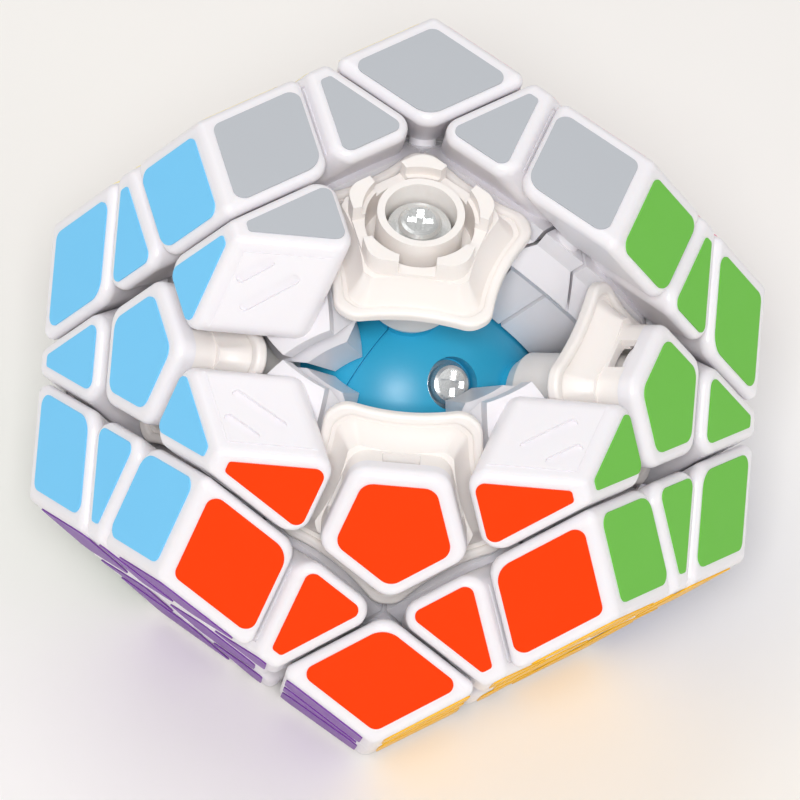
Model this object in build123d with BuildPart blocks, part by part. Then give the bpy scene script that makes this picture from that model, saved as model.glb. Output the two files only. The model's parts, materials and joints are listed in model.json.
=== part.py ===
from build123d import *
from math import acos, cos, degrees, radians, sin, sqrt, tan
import os

os.makedirs("parts", exist_ok=True)

# Dodecahedron
edge_length = 31.0
face_distance = 1.113516 * edge_length
face_apothem = 0.688191 * edge_length
face_tilt = 26.5651

upright = (Align.CENTER, Align.CENTER, Align.MIN)

# Turning layers: depth of the cut on the face, and the tongue that holds the pieces
cut_depth = 13.4
clearance = 0.15
cut_height = face_distance - cut_depth * cos(radians(face_tilt))
neck_angle = 41.2
neck_outer_radius = 30.0
neck_inner_radius = 27.0
neck_cap_radius = 29.0
tongue_angle = 46.0
tongue_radius = 24.2
foot_angle = 41.8
foot_radius = 22.5
foot_gap = 0.25
corner_stem_radius = 1.55

# Rounding of the outer pieces
outline_fillet = 1.1
corner_inner_fillet = 2.6
edge_inner_fillet = 2.0

# Core ball
ball_radius = 15.5
ball_wall = 2.6
hub_radius = 7.0
boss_radius = 3.75
boss_height = 15.8
post_radius = 3.0
seam_azimuth = -36.0
core_pocket_radius = 3.0
core_pocket_floor = 13.2
core_head_radius = 2.75
core_head_top = 15.1
core_shank_radius = 1.2

# Centre base
tube_radius = 4.8
tube_bore = 3.95
tube_top = 31.2
spring_seat = 20.5
screw_clearance_radius = 1.65
rim_bottom = 25.8
rim_top = 26.6
rim_lobe_radius = 12.9
rim_side_radius = 10.3
rim_side_curve = 23.5
rim_corner_fillet = 2.4
lip_top = 27.2
lip_width = 1.15
lip_roll = 0.45
bell_rings = [(26.4, 1.5), (27.3, 2.1), (28.3, 2.7), (29.6, 3.2)]
crown_inner_radius = 6.0
crown_step = 1.3
crown_top = 32.2
notch_width = 4.1
notch_floor = 30.1

# Cap
cap_apothem = 7.1
cap_fillet = 2.4
plug_bottom = 31.0
plug_inner_radius = 5.05

# Screw, washer and spring behind each face
washer_radius = 3.5
washer_bottom = 28.9
washer_top = 29.6
head_radius = 2.4
head_top = 30.95
shank_radius = 1.4
shank_end = 8.0
spring_radius = 2.9
spring_wire = 0.6
spring_turns = 6

# Stickers
sticker_thickness = 0.15
sticker_margin = 1.4
centre_sticker_margin = 1.65

face_angles = {
    "grey": (0, 90),
    "orange": (-90, face_tilt),
    "light_green": (-18, face_tilt),
    "pink": (54, face_tilt),
    "cream": (126, face_tilt),
    "light_blue": (198, face_tilt),
    "yellow": (-54, -face_tilt),
    "dark_blue": (18, -face_tilt),
    "red": (90, -face_tilt),
    "dark_green": (162, -face_tilt),
    "purple": (234, -face_tilt),
    "bottom": (0, -90),
}
turning_layers = ["light_blue", "light_green", "bottom"]
missing_caps = ["grey"]
missing_edges = [{"grey", "orange"}, {"grey", "light_green"}]
missing_corners = [{"grey", "orange", "light_blue"}, {"grey", "orange", "light_green"}]


def direction(azimuth, elevation):
    level = cos(radians(elevation))
    x = level * cos(radians(azimuth))
    y = level * sin(radians(azimuth))
    return Vector(x, y, sin(radians(elevation)))


normal = {name: direction(*angles) for name, angles in face_angles.items()}


def adjacent(a, b):
    return a != b and normal[a].dot(normal[b]) > 0.4


def face_location(face, neighbour):
    """Frame with Z out of the face and X towards its neighbour."""
    z = normal[face]
    x = normal[neighbour] - z * normal[neighbour].dot(z)
    return Plane(origin=(0, 0, 0), x_dir=x, z_dir=z).location


def neighbours(face):
    return [name for name in face_angles if adjacent(face, name)]


def centre_location(face):
    return face_location(face, neighbours(face)[0])


def corner_location(face, others):
    """Frame whose X points at the first of the two other faces, anticlockwise."""
    a, b = others
    if normal[face].dot(normal[a].cross(normal[b])) < 0:
        a = b
    return face_location(face, a)


names = list(face_angles)
edge_pieces = []
corner_pieces = []
for i, a in enumerate(names):
    for j, b in enumerate(names[i + 1:], i + 1):
        if not adjacent(a, b):
            continue
        if {a, b} not in missing_edges:
            edge_pieces.append((a, b))
        for c in names[j + 1:]:
            if adjacent(a, c) and adjacent(b, c) and {a, b, c} not in missing_corners:
                corner_pieces.append((a, b, c))


def polar(radius, angle):
    return (radius * sin(radians(angle)), radius * cos(radians(angle)))


def layer_solid(shift, height):
    """All of one turning layer: plane, neck, tongue groove and foot cone."""
    neck_r = sqrt(neck_outer_radius ** 2 - cut_height ** 2)
    outline = [
        (0, height),
        (60, height),
        (60, cut_height),
        (neck_r, cut_height),
        polar(neck_inner_radius, neck_angle),
        polar(tongue_radius, tongue_angle),
        polar(foot_radius, foot_angle),
        polar(10, foot_angle),
        (0, polar(10, foot_angle)[1]),
    ]
    moved = []
    for r, z in outline:
        if z == height:
            moved.append((r, z))
        elif r == 0:
            moved.append((0, z - shift))
        else:
            moved.append((r + shift, z - shift))
    with BuildPart() as layer:
        with BuildSketch(Plane.XZ):
            with BuildLine():
                Polyline(*moved, close=True)
            make_face()
        revolve(axis=Axis.Z)
    return layer.part


layer_of_piece = layer_solid(-clearance, face_distance)
layer_beyond = layer_solid(clearance, 60)


def around(k):
    """Frame of the k-th neighbour of a face whose normal is Z."""
    azimuth = 72 * k
    return Plane(origin=(0, 0, 0), x_dir=(0, 0, 1), z_dir=direction(azimuth, face_tilt)).location


def slab(k, low, high):
    """The space between two heights along the normal of neighbour k, or along Z."""
    place = Location() if k is None else around(k)
    box = Box(120, 120, high - low, mode=Mode.PRIVATE)
    return box.moved(place * Location((0, 0, (low + high) / 2)))


def lies_on(line, k):
    out = direction(0, 90) if k is None else direction(72 * k, face_tilt)
    return all(abs(line.position_at(t).dot(out) - face_distance) < 0.001 for t in (0, 0.5, 1))


with BuildPart() as corner_block:
    add(slab(None, cut_height + clearance, face_distance))
    add(slab(0, cut_height + clearance, face_distance), mode=Mode.INTERSECT)
    add(slab(1, cut_height + clearance, face_distance), mode=Mode.INTERSECT)
    sides = [e for e in edges() if not any(lies_on(e, k) for k in (None, 0, 1))]
    fillet(sides, corner_inner_fillet)
    outline = [e for e in edges() if any(lies_on(e, k) for k in (None, 0, 1))]
    fillet(outline, outline_fillet)

with BuildPart() as edge_block:
    add(slab(None, cut_height + clearance, face_distance))
    add(slab(0, cut_height + clearance, face_distance), mode=Mode.INTERSECT)
    add(slab(1, 0, cut_height - clearance), mode=Mode.INTERSECT)
    add(slab(4, 0, cut_height - clearance), mode=Mode.INTERSECT)
    sides = [e for e in edges() if not any(lies_on(e, k) for k in (None, 0))]
    fillet(sides, edge_inner_fillet)
    outline = [e for e in edges() if any(lies_on(e, k) for k in (None, 0))]
    fillet(outline, outline_fillet)

# Feet: what the necks, tongues and cones leave below the outer blocks
with BuildPart() as corner_foot:
    add(layer_of_piece)
    add(layer_of_piece.moved(around(0)), mode=Mode.INTERSECT)
    add(layer_of_piece.moved(around(1)), mode=Mode.INTERSECT)
    Sphere(neck_cap_radius, mode=Mode.INTERSECT)
    Sphere(ball_radius + foot_gap, mode=Mode.SUBTRACT)

with BuildPart() as edge_foot:
    add(layer_of_piece)
    add(layer_of_piece.moved(around(0)), mode=Mode.INTERSECT)
    Sphere(neck_cap_radius, mode=Mode.INTERSECT)
    add(layer_beyond.moved(around(1)), mode=Mode.SUBTRACT)
    add(layer_beyond.moved(around(4)), mode=Mode.SUBTRACT)
    Sphere(ball_radius + foot_gap, mode=Mode.SUBTRACT)

# Corner piece: between the Z face and its neighbours 0 and 1, with a stem through the narrow neck
to_vertex = (direction(0, 90) + direction(0, face_tilt) + direction(72, face_tilt)).normalized()
with BuildPart() as corner:
    add(corner_block.part)
    add(corner_foot.part)
    with Locations(Plane(origin=to_vertex * (neck_inner_radius - 0.5), z_dir=to_vertex)):
        Cylinder(corner_stem_radius, 5, align=upright)

# Edge piece: between the Z face and its neighbour 0
with BuildPart() as edge:
    add(edge_block.part)
    add(edge_foot.part)

# Outlines on the face, for a piece between neighbours 0 and 1
near_line = face_apothem - cut_depth + clearance
far_line = face_apothem


def rhombus_point(first, second):
    """Where the line at one distance from side 0 crosses the one from side 1."""
    return (first, (second - first * cos(radians(72))) / sin(radians(72)))


def side_point(x, inset):
    """Point on an edge piece's slanted side, drawn in by a margin."""
    reach = face_apothem - cut_depth - clearance - inset
    return (x, (reach - x * cos(radians(72))) / sin(radians(72)))


# Grooves pressed into both end walls of every edge piece, and the line inside its outline
groove_depth = 0.45
line_depth = 0.15
line_tip = 32.2
line_length = 11.2
end_wall = Plane(
    origin=direction(72, face_tilt) * (cut_height - clearance),
    x_dir=(direction(0, 90) + direction(0, face_tilt)),
    z_dir=direction(72, face_tilt),
)
with BuildPart() as end_grooves:
    with BuildSketch(end_wall):
        with Locations((26.4, 0.2)):
            SlotOverall(7.4, 1.1, rotation=90)
        with Locations((29.5, 0.1)):
            SlotOverall(4.7, 1.1, rotation=90)
    extrude(amount=groove_depth, both=True)
    with BuildSketch(end_wall):
        with Locations((line_tip, 0)):
            Rectangle(line_length, 0.3, rotation=126, align=(Align.MIN, Align.CENTER))
            Rectangle(line_length, 0.3, rotation=-126, align=(Align.MIN, Align.CENTER))
    extrude(amount=line_depth, both=True)

with BuildPart() as edge_piece:
    add(edge.part)
    add(end_grooves.part, mode=Mode.SUBTRACT)
    add(mirror(end_grooves.part, about=Plane.XZ, mode=Mode.PRIVATE), mode=Mode.SUBTRACT)

# Stickers
with BuildPart() as centre_sticker:
    with BuildSketch(Plane.XY.offset(face_distance)):
        RegularPolygon(cap_apothem - centre_sticker_margin, 5, major_radius=False, rotation=36)
        fillet(vertices(), 1.7)
    extrude(amount=sticker_thickness)

with BuildPart() as edge_sticker:
    with BuildSketch(Plane.XY.offset(face_distance)):
        wide = side_point(near_line + sticker_margin, 1.1)
        narrow = side_point(far_line - 1.7, 1.1)
        with BuildLine():
            Polyline(wide, narrow, (narrow[0], -narrow[1]), (wide[0], -wide[1]), close=True)
        make_face()
        fillet(vertices().group_by(Axis.X)[0], 1.0)
        fillet(vertices().group_by(Axis.X)[-1], 0.45)
    extrude(amount=sticker_thickness)

with BuildPart() as corner_sticker:
    with BuildSketch(Plane.XY.offset(face_distance)):
        low = near_line + sticker_margin
        high = far_line - sticker_margin
        inner = rhombus_point(low, low)
        with BuildLine():
            Polyline(
                inner,
                rhombus_point(high, low),
                rhombus_point(high, high),
                rhombus_point(low, high),
                close=True,
            )
        make_face()
        by_reach = vertices().sort_by_distance((0, 0, face_distance))
        fillet(by_reach[0], 2.6)
        fillet(vertices().sort_by_distance((0, 0, face_distance))[2:], 1.2)
    extrude(amount=sticker_thickness)

def is_level(line):
    return abs((line @ 0).Z - (line @ 1).Z) < 0.01


def reach(line):
    """Least distance of a line's ends and middle from the Z axis."""
    return min(Vector((line @ t).X, (line @ t).Y, 0).length for t in (0, 0.5, 1))


def rim_outline(height, inset, rounding):
    """Five-lobed outline of the bell, drawn in by an inset."""
    with BuildSketch(Plane.XY.offset(height)) as outline:
        Circle(rim_lobe_radius - inset * 1.25)
        with PolarLocations(rim_side_radius - inset + rim_side_curve, 5):
            Circle(rim_side_curve, mode=Mode.SUBTRACT)
        fillet(outline.vertices(), rounding)
    return outline.sketch


# Centre base: tube, crown and bell
with BuildPart() as centre_base:
    with BuildSketch(Plane.XZ):
        with BuildLine():
            Polyline(
                (0, boss_height),
                (boss_radius + 0.1, boss_height),
                (tube_radius, 17.2),
                (tube_radius, tube_top),
                (0, tube_top),
                close=True,
            )
        make_face()
    revolve(axis=Axis.Z)
    # lobed rim with a rolled lip
    add(rim_outline(rim_bottom, 0, rim_corner_fillet))
    extrude(amount=lip_top - rim_bottom)
    add(rim_outline(rim_top, lip_width, rim_corner_fillet - 0.6))
    extrude(amount=lip_top - rim_top, mode=Mode.SUBTRACT)
    lip_edges = [e for e in edges() if is_level(e) and reach(e) > rim_side_radius - lip_width - 0.1]
    fillet([e for e in lip_edges if abs((e @ 0).Z - rim_top) > 0.1], lip_roll)
    # bell flaring from the crown down to the rim
    for height, inset in bell_rings:
        add(rim_outline(height, inset, rim_corner_fillet - inset * 0.6))
    loft()
    # crown with thick corners and a round, stepped inside
    with BuildSketch(Plane.XY.offset(rim_top)):
        RegularPolygon(cap_apothem, 5, major_radius=False, rotation=36)
        fillet(vertices(), cap_fillet)
    extrude(amount=crown_top - rim_top)
    with BuildSketch(Plane.XY.offset(rim_top)):
        Circle(crown_inner_radius)
        Circle(tube_radius, mode=Mode.SUBTRACT)
    extrude(amount=10, mode=Mode.SUBTRACT)
    with BuildSketch(Plane.XY.offset(crown_top - crown_step)):
        Circle(crown_inner_radius + 0.45)
        Circle(tube_radius, mode=Mode.SUBTRACT)
    extrude(amount=10, mode=Mode.SUBTRACT)
    # five notches
    with PolarLocations(cap_apothem, 5):
        with Locations((0, 0, notch_floor + 5)):
            Box(4, notch_width, 10, mode=Mode.SUBTRACT)
    # bore, screw hole
    with Locations((0, 0, spring_seat)):
        Cylinder(tube_bore, 20, align=(Align.CENTER, Align.CENTER, Align.MIN), mode=Mode.SUBTRACT)
    Cylinder(screw_clearance_radius, 60, mode=Mode.SUBTRACT)

# Cap: pentagon plate flush with the crown, and a ring that plugs into it
with BuildPart() as cap:
    with BuildSketch(Plane.XY.offset(crown_top)):
        RegularPolygon(cap_apothem, 5, major_radius=False, rotation=36)
        fillet(vertices(), cap_fillet)
    extrude(amount=face_distance - crown_top)
    fillet(faces().sort_by(Axis.Z)[-1].edges(), outline_fillet)
    with BuildSketch(Plane.XY.offset(plug_bottom)):
        Circle(crown_inner_radius - 0.05)
        Circle(plug_inner_radius, mode=Mode.SUBTRACT)
    extrude(amount=crown_top - plug_bottom + 0.5)

# Screw with a cross recess, washer and spring
with BuildPart() as centre_screw:
    with BuildSketch(Plane.XZ):
        with BuildLine():
            Polyline(
                (0, shank_end), (shank_radius, shank_end + 1), (shank_radius, washer_top),
                (head_radius, washer_top), (head_radius, head_top - 0.5),
                (head_radius - 0.3, head_top - 0.15), (head_radius - 0.65, head_top),
                (0, head_top), close=True,
            )
        make_face()
    revolve(axis=Axis.Z)
    with Locations((0, 0, head_top)):
        Box(2.8, 0.8, 1.3, mode=Mode.SUBTRACT)
        Box(0.8, 2.8, 1.3, mode=Mode.SUBTRACT)
        Cone(0.3, 1.0, 1.2, mode=Mode.SUBTRACT)

with BuildPart() as washer:
    with Locations((0, 0, washer_bottom)):
        Cylinder(washer_radius, washer_top - washer_bottom,
                 align=(Align.CENTER, Align.CENTER, Align.MIN))
        Cylinder(screw_clearance_radius, washer_top - washer_bottom,
                 align=(Align.CENTER, Align.CENTER, Align.MIN), mode=Mode.SUBTRACT)

spring_height = washer_bottom - spring_seat
with BuildPart() as spring:
    with BuildLine():
        coil = Helix(
            pitch=spring_height / spring_turns,
            height=spring_height,
            radius=spring_radius,
            center=(0, 0, spring_seat),
        )
    with BuildSketch(Plane(origin=coil @ 0, z_dir=coil % 0)):
        Circle(spring_wire / 2)
    sweep(path=coil)
    with Locations((0, 0, spring_seat)):
        Cylinder(5, spring_height, align=(Align.CENTER, Align.CENTER, Align.MIN),
                 mode=Mode.INTERSECT)

with BuildPart() as core_screw:
    with BuildSketch(Plane.XZ):
        with BuildLine():
            Polyline(
                (0, 4.5), (core_shank_radius, 5.5), (core_shank_radius, core_pocket_floor),
                (core_head_radius, core_pocket_floor), (core_head_radius, core_pocket_floor + 0.4),
                (2.35, core_pocket_floor + 0.55), (2.35, core_head_top - 0.5),
                (2.05, core_head_top - 0.15), (1.7, core_head_top), (0, core_head_top),
                close=True,
            )
        make_face()
    revolve(axis=Axis.Z)
    with Locations((0, 0, core_head_top)):
        Box(2.9, 0.8, 1.4, mode=Mode.SUBTRACT)
        Box(0.8, 2.9, 1.4, mode=Mode.SUBTRACT)
        Cone(0.3, 1.0, 1.2, mode=Mode.SUBTRACT)

# Core: a hollow ball in two halves, the rear one holding the hub that takes the screws
seam = direction(seam_azimuth, 0)
face_planes = [Plane(origin=(0, 0, 0), z_dir=n) for n in normal.values()]
core_screw_planes = []
for i, a in enumerate(names):
    for j, b in enumerate(names[i + 1:], i + 1):
        for c in names[j + 1:]:
            if adjacent(a, b) and adjacent(a, c) and adjacent(b, c):
                vertex = (normal[a] + normal[b] + normal[c]).normalized()
                if abs(vertex.dot(seam) - 1 / sqrt(3)) < 0.001:
                    core_screw_planes.append(Plane(origin=(0, 0, 0), z_dir=vertex))

with BuildPart() as core:
    Sphere(ball_radius)
    Sphere(ball_radius - ball_wall, mode=Mode.SUBTRACT)
    with Locations(*[p * Location((0, 0, hub_radius - 1)) for p in face_planes]):
        Cylinder(boss_radius, boss_height - hub_radius + 1, align=upright)
    with Locations(*[p * Location((0, 0, hub_radius - 1)) for p in core_screw_planes]):
        Cylinder(core_pocket_radius + 0.8, ball_radius - hub_radius - 0.5, align=upright)
    Sphere(hub_radius)
    with Locations(*[p * Location((0, 0, core_pocket_floor)) for p in core_screw_planes]):
        Cylinder(core_pocket_radius, 5, align=upright, mode=Mode.SUBTRACT)
    with Locations(*[p * Location((0, 0, 4)) for p in core_screw_planes]):
        Cylinder(core_shank_radius + 0.05, 15, align=upright, mode=Mode.SUBTRACT)
    with Locations(*[p * Location((0, 0, shank_end - 0.5)) for p in face_planes]):
        Cylinder(shank_radius + 0.05, 15, align=upright, mode=Mode.SUBTRACT)

# thin grooves where the halves meet and round the grey boss
with BuildPart() as core_seams:
    with BuildSketch(Plane.XY):
        Circle(ball_radius + 1)
        Circle(ball_radius - 0.3, mode=Mode.SUBTRACT)
    extrude(amount=0.1, both=True)

seam_plane = Plane(origin=(0, 0, 0), z_dir=seam)
with BuildPart() as core_front_half:
    add(core.part)
    Sphere(hub_radius + 0.05, mode=Mode.SUBTRACT)
    add(core_seams.part.moved(seam_plane.location), mode=Mode.SUBTRACT)
    split(bisect_by=seam_plane, keep=Keep.TOP)

with BuildPart() as core_rear_half:
    add(core.part)
    add(core_seams.part.moved(seam_plane.location), mode=Mode.SUBTRACT)
    split(bisect_by=seam_plane, keep=Keep.BOTTOM)
    with BuildPart(mode=Mode.PRIVATE) as hub:
        add(core.part)
        Sphere(hub_radius, mode=Mode.INTERSECT)
    add(hub.part)


def save(shape, label):
    shape.label = label
    export_step(shape, f"parts/{label}.step")


def group(solids, label):
    save(Compound(label=label, children=solids), label)


def layer_of(piece):
    for name in turning_layers:
        if name in piece:
            return name
    return "fixed"


def sticker_places(piece):
    """Every sticker of a piece, with the face whose colour it has."""
    found = []
    for face in piece:
        others = [name for name in piece if name != face]
        if len(piece) == 1:
            found.append((face, centre_sticker.part.moved(centre_location(face))))
        elif len(piece) == 2:
            found.append((face, edge_sticker.part.moved(face_location(face, others[0]))))
        else:
            found.append((face, corner_sticker.part.moved(corner_location(face, others))))
    return found


save(core_front_half.part, "core_front_half")
save(core_rear_half.part, "core_rear_half")
group([core_screw.part.moved(p.location) for p in core_screw_planes], "core_screws")
group([centre_screw.part.moved(centre_location(f)) for f in names], "centre_screws")
group([washer.part.moved(centre_location(f)) for f in names], "centre_washers")
group([spring.part.moved(centre_location(f)) for f in names], "centre_springs")

own_nodes = ["grey", "orange"] + turning_layers
for name in own_nodes:
    save(centre_base.part.moved(centre_location(name)), f"{name}_centre_base")
    if name not in missing_caps:
        save(cap.part.moved(centre_location(name)), f"{name}_centre_cap")
shared = [name for name in names if name not in own_nodes]
group([centre_base.part.moved(centre_location(f)) for f in shared], "fixed_centre_bases")
group([cap.part.moved(centre_location(f)) for f in shared], "fixed_centre_caps")

centre_pieces = [(name,) for name in names if name not in missing_caps]
for body in ["fixed"] + turning_layers:
    own_edges = [piece for piece in edge_pieces if layer_of(piece) == body]
    own_corners = [piece for piece in corner_pieces if layer_of(piece) == body]
    own_centres = [piece for piece in centre_pieces if layer_of(piece) == body]
    group([edge_piece.part.moved(face_location(*piece)) for piece in own_edges], f"{body}_edges")
    group(
        [corner.part.moved(corner_location(piece[0], piece[1:])) for piece in own_corners],
        f"{body}_corners",
    )
    stickers = {}
    for piece in own_centres + own_edges + own_corners:
        for colour, solid in sticker_places(piece):
            stickers.setdefault(colour, []).append(solid)
    for colour, solids in stickers.items():
        group(solids, f"{body}_{colour}_stickers")
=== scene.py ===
"""Dodecahedron twisty puzzle, partly taken apart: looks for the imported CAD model."""

import json
import math

import bpy
from mathutils import Matrix, Vector


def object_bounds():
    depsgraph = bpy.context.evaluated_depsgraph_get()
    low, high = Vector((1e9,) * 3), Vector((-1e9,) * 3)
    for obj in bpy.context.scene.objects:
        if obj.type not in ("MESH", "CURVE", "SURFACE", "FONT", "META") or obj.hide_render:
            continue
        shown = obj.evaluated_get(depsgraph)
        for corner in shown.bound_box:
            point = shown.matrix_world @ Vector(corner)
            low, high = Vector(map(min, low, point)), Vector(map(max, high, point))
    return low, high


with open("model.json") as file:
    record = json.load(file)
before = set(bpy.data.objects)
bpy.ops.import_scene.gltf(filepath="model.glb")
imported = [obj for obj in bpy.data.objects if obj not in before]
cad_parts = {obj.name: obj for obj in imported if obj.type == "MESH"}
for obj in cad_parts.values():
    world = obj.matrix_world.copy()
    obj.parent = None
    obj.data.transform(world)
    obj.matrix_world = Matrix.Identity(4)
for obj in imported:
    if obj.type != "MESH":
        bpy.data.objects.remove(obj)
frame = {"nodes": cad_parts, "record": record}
cad_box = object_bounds()

# Camera: direction in degrees and distance in metres, both from the ball core
CAMERA_AZIMUTH = -2.7
CAMERA_ELEVATION = 52.2
CAMERA_ROLL = 7.1
CAMERA_DISTANCE = 0.6865
CAMERA_LENS = 273.6
CAMERA_SENSOR = 36
CAMERA_SHIFT = (0.0016, -0.0094)
CAMERA_CLIP = (0.05, 20)

# Floor: edge length, and a hair's gap that keeps it off the bottom stickers
FLOOR_SIZE = 6
FLOOR_GAP = 0.00003

# Lights: name, place, edge length and power
LIGHTS = [
    ("key", (-0.3, 0.35, 0.95), 0.7, 1.7),
    ("front", (-0.05, -0.62, 0.85), 0.25, 6),
    ("side", (0.9, -0.3, 0.5), 0.6, 1),
]
WORLD_COLOUR = (1, 0.985, 0.965, 1)
WORLD_STRENGTH = 0.45

# Surface relief: depth of the bump in metres
RELIEF_DEPTH = 0.0002


def srgb(r, g, b):
    """A linear colour from screen values of 0 to 255."""

    def linear(v):
        v /= 255
        return v / 12.92 if v <= 0.04045 else ((v + 0.055) / 1.055) ** 2.4

    return (linear(r), linear(g), linear(b), 1)


def scaled(colour, factor):
    """A colour made darker or lighter, and kept within range."""
    return tuple(min(1, channel * factor) for channel in colour[:3]) + (1,)


def noise(nodes, links, place, scale, detail):
    """A noise texture fixed to the object."""
    texture = nodes.new("ShaderNodeTexNoise")
    texture.inputs["Scale"].default_value = scale
    texture.inputs["Detail"].default_value = detail
    links.new(place.outputs["Object"], texture.inputs["Vector"])
    return texture


def material(
    name, colour, roughness, variation=0.03, grain=900, bump=0.02, bump_scale=1500, **sockets
):
    """Moulded plastic, vinyl, metal or paper: faint colour drift, uneven gloss, fine surface."""
    mat = bpy.data.materials.new(name)
    mat.use_nodes = True
    nodes, links = mat.node_tree.nodes, mat.node_tree.links
    shader = nodes["Principled BSDF"]
    for key, value in sockets.items():
        shader.inputs[key.replace("_", " ")].default_value = value
    place = nodes.new("ShaderNodeTexCoord")

    drift = noise(nodes, links, place, grain / 10, 3)
    tint = nodes.new("ShaderNodeMix")
    tint.data_type = "RGBA"
    tint.inputs["A"].default_value = scaled(colour, 1 - variation)
    tint.inputs["B"].default_value = scaled(colour, 1 + variation)
    links.new(drift.outputs["Fac"], tint.inputs["Factor"])
    links.new(tint.outputs["Result"], shader.inputs["Base Color"])

    smear = noise(nodes, links, place, grain / 4, 4)
    gloss = nodes.new("ShaderNodeMapRange")
    gloss.inputs["To Min"].default_value = roughness * 0.85
    gloss.inputs["To Max"].default_value = roughness * 1.2
    links.new(smear.outputs["Fac"], gloss.inputs["Value"])
    links.new(gloss.outputs["Result"], shader.inputs["Roughness"])

    fine = noise(nodes, links, place, bump_scale, 2)
    relief = nodes.new("ShaderNodeBump")
    relief.inputs["Strength"].default_value = bump
    relief.inputs["Distance"].default_value = RELIEF_DEPTH
    links.new(fine.outputs["Fac"], relief.inputs["Height"])
    links.new(relief.outputs["Normal"], shader.inputs["Normal"])
    return mat


# Materials, by the record's slot names
plastic = dict(
    Subsurface_Weight=0.15,
    Subsurface_Radius=(1, 0.75, 0.6),
    Subsurface_Scale=0.0015,
    Coat_Weight=0.12,
    Coat_Roughness=0.2,
)
finishes = {
    "white_plastic": material("white_plastic", srgb(241, 238, 242), 0.3, 0.01, **plastic),
    "ivory_plastic": material("ivory_plastic", srgb(247, 241, 237), 0.36, 0.012, **plastic),
    "core_blue": material("core_blue", srgb(44, 172, 214), 0.36, 0.03),
    "steel": material(
        "steel", srgb(232, 234, 234), 0.26, 0.05, bump=0.1, bump_scale=2500, Metallic=0.85
    ),
    "spring_steel": material("spring_steel", srgb(190, 190, 192), 0.3, 0.08, Metallic=1.0),
}
sticker_colours = {
    "sticker_orange": srgb(255, 62, 0),
    "sticker_light_blue": srgb(122, 208, 255),
    "sticker_light_green": srgb(112, 196, 72),
    "sticker_grey": srgb(186, 190, 196),
    "sticker_pink": srgb(240, 120, 160),
    "sticker_cream": srgb(246, 232, 170),
    "sticker_yellow": srgb(250, 190, 30),
    "sticker_dark_blue": srgb(30, 70, 180),
    "sticker_red": srgb(205, 25, 35),
    "sticker_dark_green": srgb(15, 110, 50),
    "sticker_purple": srgb(125, 65, 165),
    "sticker_black": srgb(32, 32, 34),
}
for slot_name, colour in sticker_colours.items():
    finishes[slot_name] = material(
        slot_name, colour, 0.38, 0.012, bump=0.015, bump_scale=4000, Specular_IOR_Level=0.12
    )

for part in frame["record"]["subparts"]:
    node = frame["nodes"][part["node"]]
    for slot in node.material_slots:
        slot.material = finishes[part["material_slot"]]

# Floor
floor_height = cad_box[0].z - FLOOR_GAP
bpy.ops.mesh.primitive_plane_add(size=FLOOR_SIZE, location=(0, 0, floor_height))
floor = bpy.context.object
floor.name = "floor"
floor.data.materials.append(material("floor_paper", srgb(248, 246, 243), 0.6, 0.004, bump=0.01))


def area_light(name, place, size, power):
    """A square, soft white light that faces the puzzle."""
    data = bpy.data.lights.new(name, "AREA")
    data.size = size
    data.energy = power
    light = bpy.data.objects.new(name, data)
    light.location = place
    light.rotation_euler = (-Vector(place)).to_track_quat("-Z", "Y").to_euler()
    bpy.context.scene.collection.objects.link(light)


for name, place, size, power in LIGHTS:
    area_light(name, place, size, power)

world = bpy.data.worlds.new("studio")
world.use_nodes = True
background = world.node_tree.nodes["Background"]
background.inputs["Color"].default_value = WORLD_COLOUR
background.inputs["Strength"].default_value = WORLD_STRENGTH
bpy.context.scene.world = world
bpy.context.scene.view_settings.view_transform = "Standard"

# Camera: looks at the ball core, rolled about its own axis
azimuth, elevation = math.radians(CAMERA_AZIMUTH), math.radians(CAMERA_ELEVATION)
back = Vector(
    (
        math.sin(azimuth) * math.cos(elevation),
        -math.cos(azimuth) * math.cos(elevation),
        math.sin(elevation),
    )
)
right = (-back).cross(Vector((0, 0, 1))).normalized()
up = right.cross(-back)
roll = math.radians(CAMERA_ROLL)
x_axis = right * math.cos(roll) + up * math.sin(roll)
y_axis = up * math.cos(roll) - right * math.sin(roll)
camera_data = bpy.data.cameras.new("camera")
camera_data.lens = CAMERA_LENS
camera_data.sensor_width = CAMERA_SENSOR
camera_data.shift_x, camera_data.shift_y = CAMERA_SHIFT
camera_data.clip_start, camera_data.clip_end = CAMERA_CLIP
camera = bpy.data.objects.new("camera", camera_data)
camera.matrix_world = Matrix.Translation(back * CAMERA_DISTANCE) @ Matrix(
    (x_axis, y_axis, back)
).transposed().to_4x4()
bpy.context.scene.collection.objects.link(camera)
bpy.context.scene.camera = camera
